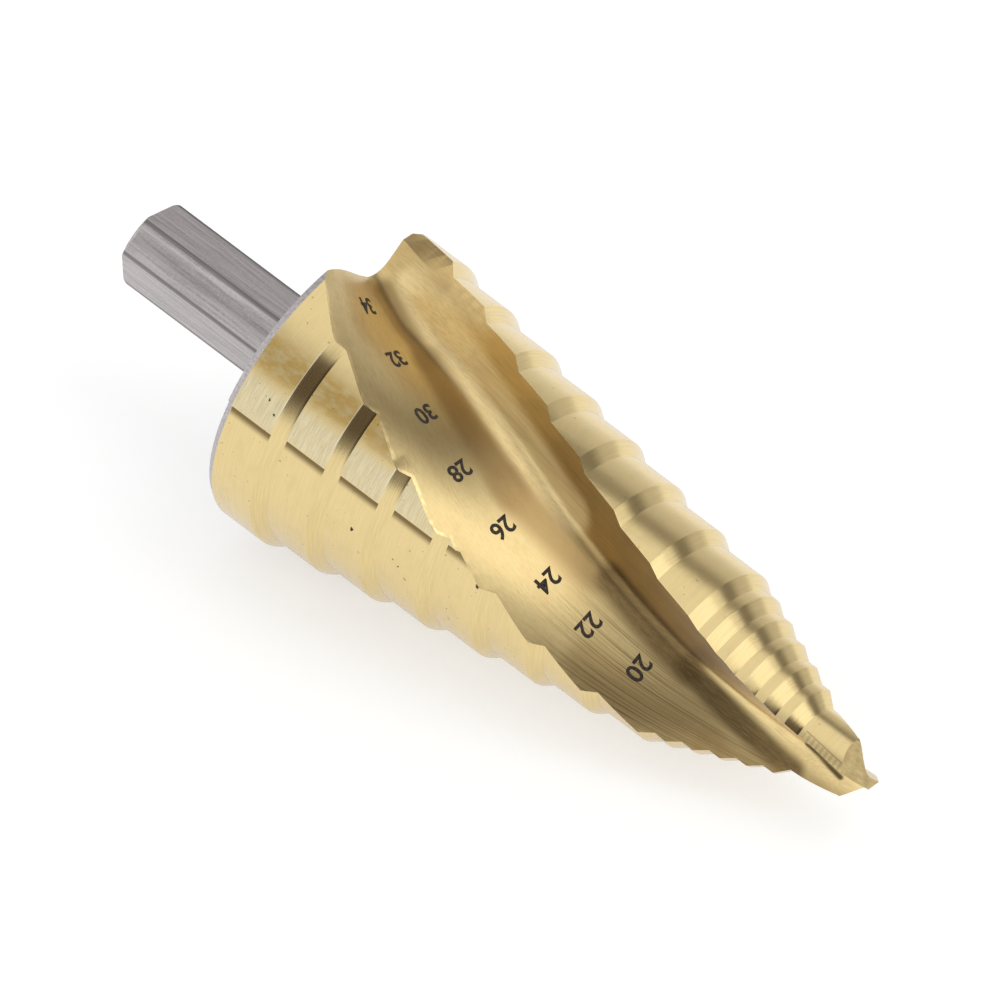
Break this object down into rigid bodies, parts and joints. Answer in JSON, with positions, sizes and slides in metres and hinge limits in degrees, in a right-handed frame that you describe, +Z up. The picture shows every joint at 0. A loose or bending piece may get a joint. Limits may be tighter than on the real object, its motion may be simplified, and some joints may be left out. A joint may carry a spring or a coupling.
{
  "type": "step drill",
  "caption": "Stepped conical drill with two helical flutes, a split point and a three-flat shank, for drilling and widening holes in sheet metal.",
  "frame": {"origin": "middle of the surface under the drill as it lies on its side, at the bottom centre of its box", "axes": "+Z up from the surface it lies on; the drill's own axis lies in the XZ plane and points towards +X, its tip 6.7 degrees down; +Y by the right-hand rule"},
  "size_m": [0.096, 0.0338, 0.0331],
  "materials": {
    "gold_coat": "pale gold titanium nitride coat on ground high-speed steel, with fine grinding lines, brushed relief zones and light heat stains",
    "bare_steel": "uncoated ground steel of the shank and of the bevel on the collar's back",
    "laser_mark": "dark laser marks of the step sizes on the flute's wall"
  },
  "bodies": {
    "root": {"step_drill": "gold_coat"}
  },
  "joints": []
}
